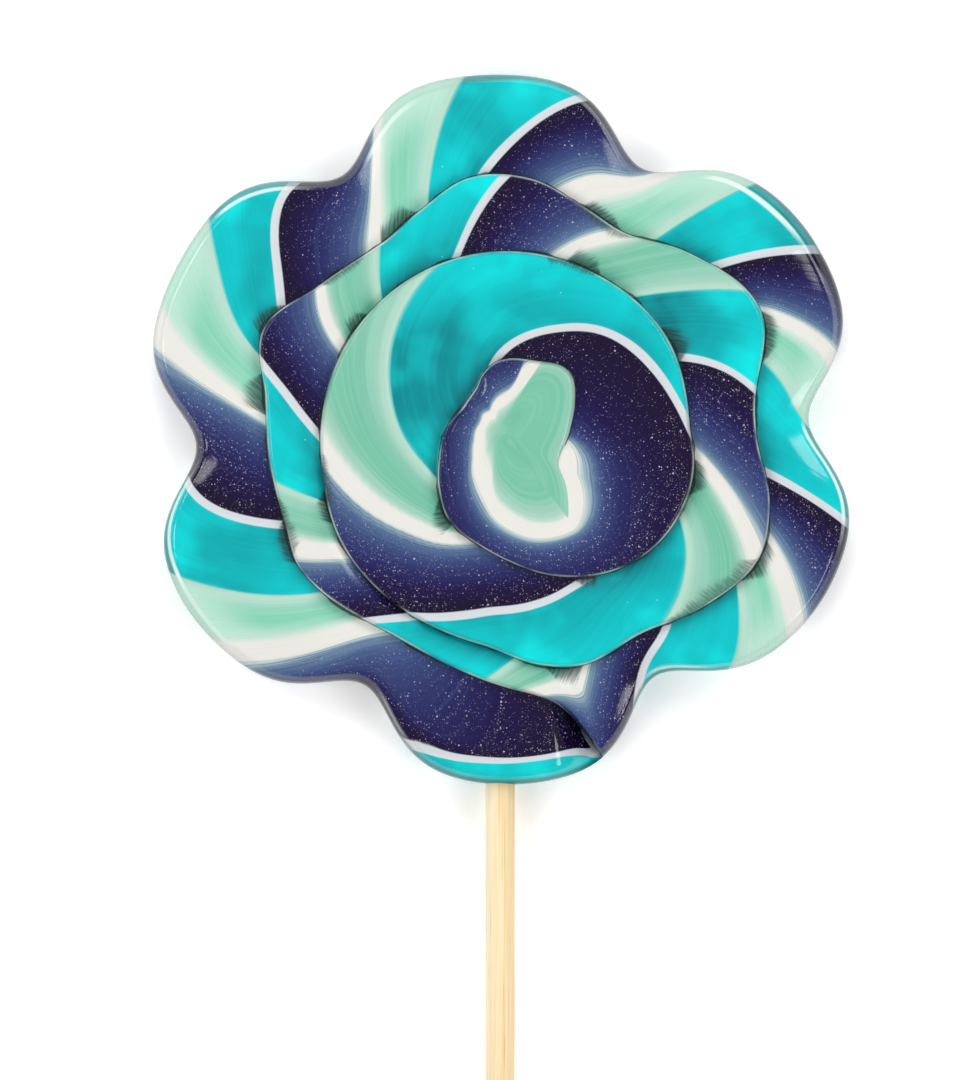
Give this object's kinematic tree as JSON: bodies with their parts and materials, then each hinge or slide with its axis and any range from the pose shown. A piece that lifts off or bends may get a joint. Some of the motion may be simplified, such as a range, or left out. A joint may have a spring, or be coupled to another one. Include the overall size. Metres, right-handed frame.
{
  "type": "swirl lollipop",
  "caption": "Flower-shaped lollipop of coiled, striped boiled sugar with pinched petals and raised overlapping turns, on a round bamboo stick.",
  "frame": {"origin": "middle of the head, on its flat back", "axes": "+Z out of the flower's face, +Y from the stick towards the top petal, +X to the right seen from the front"},
  "size_m": [0.0929, 0.2089, 0.0133],
  "materials": {
    "boiled_sugar": "glossy, pulled sugar in turquoise, mint, cream and navy stripes",
    "bamboo": "plain, unvarnished, fine lengthwise grain"
  },
  "bodies": {
    "root": {"candy": "boiled_sugar", "stick": "bamboo"}
  },
  "joints": []
}
